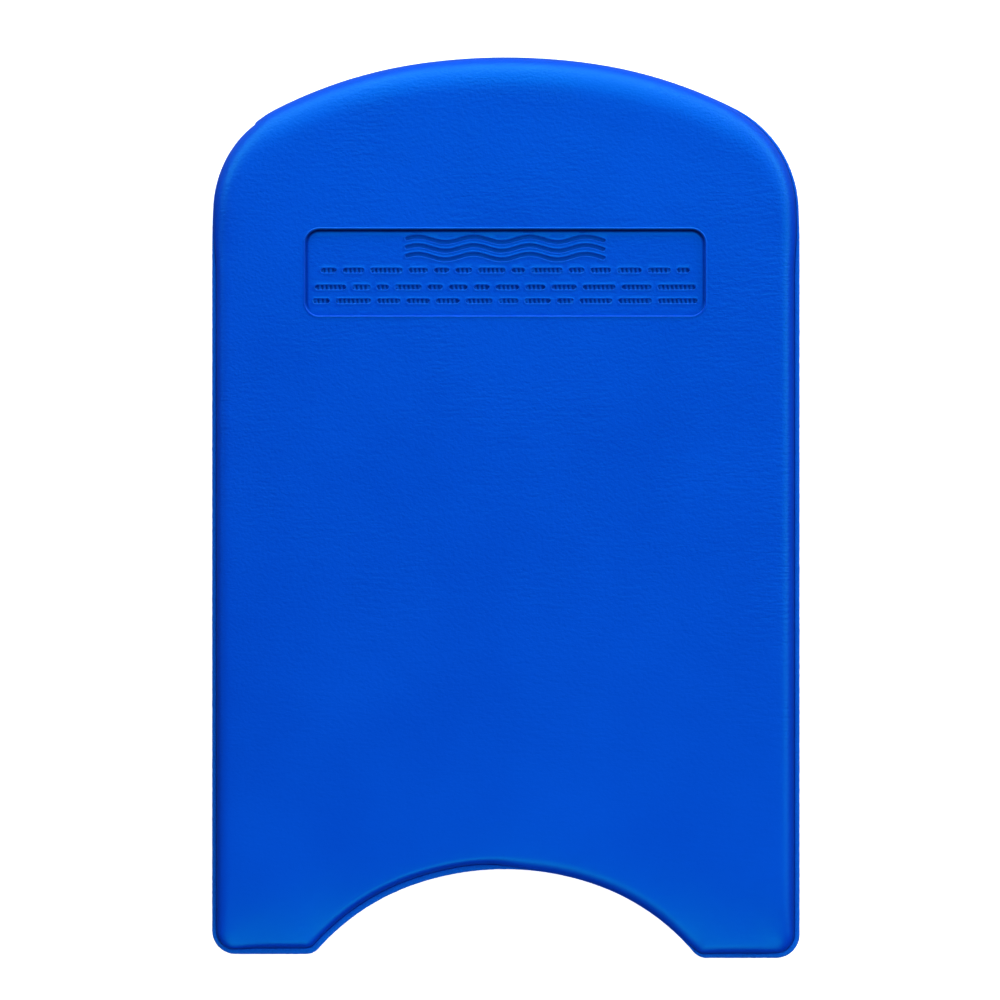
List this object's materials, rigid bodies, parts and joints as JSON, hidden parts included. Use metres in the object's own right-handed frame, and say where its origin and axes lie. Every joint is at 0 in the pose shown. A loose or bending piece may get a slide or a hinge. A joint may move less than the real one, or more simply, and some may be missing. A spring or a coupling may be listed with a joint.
{
  "type": "kickboard float",
  "caption": "Flat foam swimming float with a domed nose, straight sides, a concave arc between its rear legs and a shallow recessed panel near the nose.",
  "frame": {"origin": "centre of the flat back face, on the surface the board lies on", "axes": "+Y towards the domed nose, +Z through the thickness towards the marked front face, +X to the right of someone looking at that face with the nose up"},
  "size_m": [0.3, 0.46, 0.038],
  "materials": {
    "skin": "satin moulded closed-cell foam skin with fine creases",
    "core": "matte cut closed-cell foam"
  },
  "bodies": {
    "root": {"front_skin": "skin", "back_skin": "skin", "front_core": "core", "back_core": "core"}
  },
  "joints": []
}
